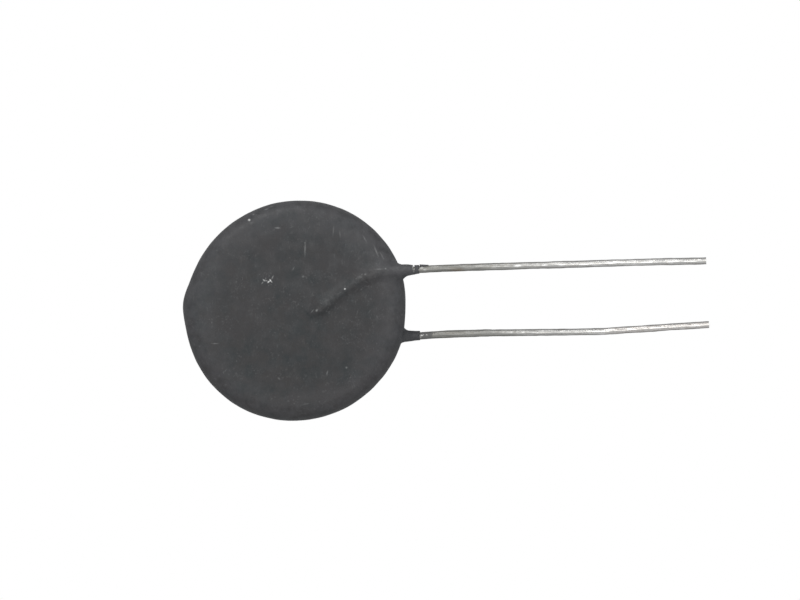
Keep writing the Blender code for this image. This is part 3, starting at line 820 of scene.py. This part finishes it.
def flake(name, line, height):
    """A thin ragged strip of resin that stayed stuck along a lead's outer side."""
    bpy.ops.object.select_all(action="DESELECT")
    bpy.ops.mesh.primitive_grid_add(
        x_subdivisions=FLAKE_STEPS_ALONG, y_subdivisions=FLAKE_STEPS_ROUND, size=1.0
    )
    strip = bpy.context.object
    strip.name = name
    length = FLAKE_STOP - FLAKE_START
    for vertex in strip.data.vertices:
        share = vertex.co.x + 0.5
        x = FLAKE_START + length * share
        ragged = rough_noise(Vector((x, vertex.co.y, 0.0)) * FLAKE_TEARS, 0.7, 3)
        angle = vertex.co.y * (FLAKE_COVER - FLAKE_NARROWING * share) + FLAKE_JAG * ragged
        middle = Vector((x, share_at(line, x * MM), height)) * MM
        out = Vector((0.0, math.cos(angle) * FLAKE_RADIUS, math.sin(angle) * FLAKE_RADIUS))
        vertex.co = middle + out
    only(strip)
    edit_all()
    bpy.ops.mesh.extrude_region_move(TRANSFORM_OT_translate={"value": (0.0, 0.0, 0.0)})
    bpy.ops.object.mode_set(mode="OBJECT")
    for vertex in strip.data.vertices:
        if vertex.select:
            share = (vertex.co.x / MM - FLAKE_START) / length
            vertex.co.y += (FLAKE_THICKNESS - FLAKE_THINNING * share) * MM
    bpy.ops.object.mode_set(mode="EDIT")
    turn_outward()
    return strip


strip = flake("flake", FRONT_LINE, FRONT_LEAD_HEIGHT)
only(coat)
strip.select_set(True)
bpy.ops.object.join()
bpy.ops.object.shade_smooth_by_angle(angle=SMOOTH_ANGLE)

# Marks on the coat's face, pale on the dark resin: chips, scuffs and rubs, and painted highlights along
# the front ridge's crest.
# Each has x and y from the disc's middle, length and width in mm, angle in degrees and strength.
MARKS_AND_CREST_HIGHLIGHTS = (
    (-3.89, 3.68, 0.34, 0.15, -42, 0.8),
    (-4.08, 3.39, 0.38, 0.15, 52, 0.42),
    (-3.7, 3.87, 0.32, 0.13, 80, 0.38),
    (-3.64, 3.63, 0.32, 0.11, 0, 0.62),
    (-3.46, 3.47, 0.26, 0.11, -45, 0.55),
    (-3.33, 3.5, 0.34, 0.15, 45, 0.95),
    (-3.13, 3.67, 0.28, 0.17, -60, 1.0),
    (-3.0, 3.52, 0.26, 0.11, -50, 0.75),
    (-2.87, 4.03, 0.5, 0.14, 62, 0.46),
    (-3.29, 4.2, 0.2, 0.12, 70, 0.27),
    (-3.07, 4.52, 0.22, 0.1, -60, 0.24),
    (-3.83, 4.55, 0.15, 0.12, 0, 0.22),
    (-3.57, 4.43, 0.2, 0.1, 80, 0.22),
    (-3.35, 3.07, 0.16, 0.13, 0, 0.26),
    (-3.03, 3.17, 0.22, 0.1, -40, 0.26),
    (-4.44, 4.39, 0.3, 0.12, 35, 0.2),
    (-5.7, 10.99, 0.26, 0.22, 0, 0.9),
    (-5.45, 10.6, 0.5, 0.3, 30, 0.2),
    (-3.63, 12.29, 0.5, 0.14, 18, 0.36),
    (-5.18, 11.67, 0.24, 0.18, 20, 0.34),
    (-3.05, 12.6, 0.6, 0.1, 12, 0.3),
    (-2.28, 10.02, 0.6, 0.18, 0, 0.44),
    (-0.6, 10.1, 0.5, 0.1, 20, 0.22),
    (1.07, 7.48, 1.6, 0.2, 88, 0.36),
    (1.07, 8.2, 0.22, 0.18, 0, 0.36),
    (0.83, 4.14, 0.3, 0.26, 0, 0.34),
    (-0.35, 5.1, 0.5, 0.16, 60, 0.28),
    (6.08, -6.89, 0.28, 0.24, 0, 0.38),
    (3.74, -7.54, 0.55, 0.18, 75, 0.36),
    (-2.1, -8.2, 0.4, 0.24, -40, 0.27),
    (1.2, -11.3, 0.9, 0.12, 10, 0.22),
    (-9.82, -3.98, 0.7, 0.14, 0, 0.34),
    (-10.22, -1.43, 0.24, 0.16, 90, 0.26),
    (9.67, 7.23, 1.3, 0.18, -68, 0.35),
    (10.4, 6.6, 0.9, 0.14, -62, 0.29),
    (4.5, 9.7, 1.1, 0.16, 85, 0.27),
    (5.3, 9.3, 0.8, 0.16, 95, 0.26),
    (8.3, 8.7, 0.9, 0.16, -60, 0.28),
    (7.4, -0.2, 0.7, 0.12, 75, 0.22),
    (-8.6, -7.3, 0.6, 0.14, 40, 0.2),
    # From here to the last row but one: painted highlights along the front lead's ridge
    (5.89, 2.63, 0.2, 0.16, 20, 1.0),
    (5.92, 2.98, 0.3, 0.1, 85, 0.26),
    (2.48, 0.04, 0.3, 0.22, 60, 0.52),
    (1.95, -0.05, 0.5, 0.14, 50, 0.36),
    (3.03, 0.85, 0.16, 0.13, 50, 0.28),
    (3.75, 1.2, 1.2, 0.4, 22, 0.17),
    (5.2, 2.1, 0.6, 0.14, 30, 0.2),
    (6.6, 3.25, 0.8, 0.34, 28, 0.17),
    (7.65, 4.05, 0.8, 0.36, 33, 0.22),
    (8.35, 4.4, 0.26, 0.2, 20, 0.38),
    (7.95, 4.4, 0.3, 0.14, 40, 0.3),
    (7.85, 4.05, 0.24, 0.16, 30, 0.3),
    (7.3, 3.9, 0.26, 0.14, 30, 0.28),
    (10.05, 5.03, 1.0, 0.16, 2, 0.34),
    (10.82, 5.1, 0.24, 0.2, 0, 0.4),
    (14.17, 5.3, 0.95, 0.2, 96, 0.75),
)


# The resin's colours: two in its clouds, a warmer tint, and what shows paler on it, with painted light
# for a lighter top and for highlights round the rim and on the ridges' tops
RESIN_CLOUDS = ((0.0098, 0.0138, 0.0148), (0.0206, 0.0192, 0.0198))
RESIN_TINT = (0.0212, 0.0192, 0.0186)
FINE_COLOUR = (0.037, 0.037, 0.038)
PAINTED_TOP_LIGHT_COLOUR = (0.055, 0.055, 0.058)
PALE_PATCH_COLOUR = (0.055, 0.055, 0.056)
PAINTED_RIM_LIGHT_COLOUR = (0.078, 0.078, 0.082)
RUB_COLOUR = (0.13, 0.13, 0.13)
DUST_COLOUR = (0.12, 0.12, 0.12)
CREST_HIGHLIGHT_COLOUR = (0.15, 0.148, 0.145)
SCORCHED_COLOUR = (0.1, 0.097, 0.075)
PALE_MARK_AND_HIGHLIGHT_COLOUR = (0.78, 0.78, 0.76)
# Heights above and below the disc's middle where the ridges' crests get a painted highlight
CREST_FROM, CREST_FULL = 3.07 * MM, 3.19 * MM


def build_coat_finish():
    """Dark grey resin, dull with a low gloss: mottled and dusty, painted lighter towards the top, with
    painted highlights round its rim and along the ridges' tops.
    """
    resin, tree, shader = new_finish("dipped_resin", 0.48, Specular_IOR_Level=0.24)
    place = add_node(tree, "ShaderNodeTexCoord").outputs["Object"]
    from_centre = add_node(
        tree, "ShaderNodeVectorMath", {0: place, 1: DISC_CENTRE}, operation="SUBTRACT"
    ).outputs[0]
    flat = add_node(
        tree, "ShaderNodeVectorMath", {0: from_centre, 1: (1.0, 1.0, 0.0)}, operation="MULTIPLY"
    ).outputs[0]
    radius = add_node(tree, "ShaderNodeVectorMath", {0: flat}, operation="LENGTH").outputs["Value"]
    axes = add_node(tree, "ShaderNodeSeparateXYZ", {0: from_centre})
    length, across, height = (axes.outputs[axis] for axis in "XYZ")

    clouds = mottle(tree, (4.5, 4.5, 4.5), 0.4, 0.6)
    tints = mottle(tree, (1.6, 1.6, 1.6), 0.4, 0.62)
    fine = mottle(tree, (0.42, 0.6, 0.42), 0.36, 0.66)
    # Painted top light: the resin is made lighter towards the top
    painted_top_light = ranged(tree, across, -10.0 * MM, 10.0 * MM, 0.0, 0.2)
    # Pale mottled patches that grow stronger towards the top
    pale_patches = product(
        tree,
        mottle(tree, (1.3, 1.3, 1.3), 0.46, 0.74),
        ranged(tree, across, -6.0 * MM, 9.0 * MM, 0.14, 0.45),
    )
    tone = blend_colours(tree, clouds, *RESIN_CLOUDS)
    tone = blend_colours(tree, product(tree, tints, 0.75), tone, RESIN_TINT)
    tone = blend_colours(tree, product(tree, fine, 0.5), tone, FINE_COLOUR)
    tone = blend_colours(tree, painted_top_light, tone, PAINTED_TOP_LIGHT_COLOUR)
    tone = blend_colours(tree, pale_patches, tone, PALE_PATCH_COLOUR)

    # A painted highlight round the rim, stronger at the top and towards the leads, broken up by a
    # mottle
    rim_light_side = total(
        tree,
        ranged(tree, across, -9.0 * MM, 9.0 * MM, 0.3, 0.46),
        ranged(tree, length, 2.0 * MM, 13.0 * MM, 0.0, 0.08),
    )
    painted_rim_light = product(
        tree,
        rim_light_side,
        ranged(tree, radius, 8.8 * MM, 13.2 * MM, 0.0, 1.1),
        mottle(tree, (1.1, 1.1, 1.1), 0.1, 0.6),
    )
    tone = blend_colours(tree, painted_rim_light, tone, PAINTED_RIM_LIGHT_COLOUR)
    rubs = product(tree, mottle(tree, (0.16, 0.8, 0.8), 0.56, 0.74), pale_patches)
    dust = product(
        tree, mottle(tree, (0.24, 0.3, 0.24), 0.56, 0.76), mottle(tree, (2.6, 2.0, 2.6), 0.4, 0.62)
    )
    tone = blend_colours(tree, product(tree, rubs, 0.9), tone, RUB_COLOUR)
    tone = blend_colours(tree, product(tree, dust, 0.4), tone, DUST_COLOUR)

    # A painted highlight on the ridges' tops, where they stand highest
    rise = add_node(tree, "ShaderNodeMath", {0: height}, operation="ABSOLUTE").outputs[0]
    painted_crest_highlight = product(
        tree,
        ranged(tree, rise, CREST_FROM, CREST_FULL),
        mottle(tree, (0.5, 0.5, 0.5), 0.35, 0.65),
        0.15,
    )
    tone = blend_colours(tree, painted_crest_highlight, tone, CREST_HIGHLIGHT_COLOUR)
    scorched = product(
        tree,
        ranged(tree, length, 14.4 * MM, 14.8 * MM),
        ranged(tree, across, 0.0, 0.1 * MM),
        dust,
    )
    tone = blend_colours(tree, scorched, tone, SCORCHED_COLOUR)

    # Chips, scuffs and rubs, and painted highlights along the front ridge, on the front face only
    broken = mottle(tree, (0.16, 0.16, 0.16), 0.25, 0.75)
    marks = product(
        tree, mark_field(tree, place, DISC_CENTRE, MARKS_AND_CREST_HIGHLIGHTS), ranged(tree, broken, 0.0, 1.0, 0.4, 1.2)
    )
    front = ranged(tree, height, 0.0, 0.5 * MM)
    marks = arithmetic(tree, "MULTIPLY", marks, front, clamp=True)
    feed(tree, blend_colours(tree, marks, tone, PALE_MARK_AND_HIGHLIGHT_COLOUR), shader, "Base Color")

    rough = total(tree, ranged(tree, fine, 0.0, 1.0, 0.42, 0.56), product(tree, marks, 0.3))
    feed(tree, rough, shader, "Roughness")
    peel = mottle(tree, (0.45, 0.45, 0.45), 0.2, 0.8)
    relief = total(tree, peel, product(tree, fine, 0.6), product(tree, marks, 2.5))
    feed(tree, bump(tree, relief, 0.012 * MM), shader, "Normal")
    return resin


wear(coat, build_coat_finish())
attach(coat, "root")
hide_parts("coating")
